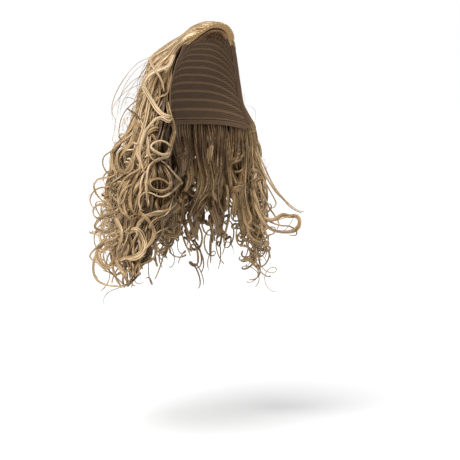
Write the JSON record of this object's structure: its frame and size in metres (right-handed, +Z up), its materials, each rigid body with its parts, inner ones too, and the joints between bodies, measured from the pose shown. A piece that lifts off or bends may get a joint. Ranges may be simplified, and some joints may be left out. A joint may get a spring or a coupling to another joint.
{
  "type": "hair fall",
  "caption": "Curly blond hair fall: a small net half cap with bound edges and a holding comb, and smooth swept-back hair that parts into loose spiral curls.",
  "frame": {"origin": "crown seat: the point on the scalp under the middle of the cap's front edge, where the comb holds the fall", "axes": "+Z up, +Y to the back of the head (the wearer faces -Y), +X to the wearer's left"},
  "size_m": [0.2972, 0.1838, 0.3455],
  "materials": {
    "net": "dark brown wefted net",
    "front_band": "tan woven tape with zigzag stitches",
    "edge_band": "brown woven tape",
    "comb": "brown plastic",
    "hair": "dark blond fibre with lighter strands and a soft sheen"
  },
  "bodies": {
    "root": {"cap_net": "net", "front_band": "front_band", "left_band": "edge_band", "right_band": "edge_band", "nape_band": "edge_band", "front_comb": "comb", "crown_weft": "hair", "back_weft": "hair", "nape_weft": "hair"}
  },
  "joints": []
}
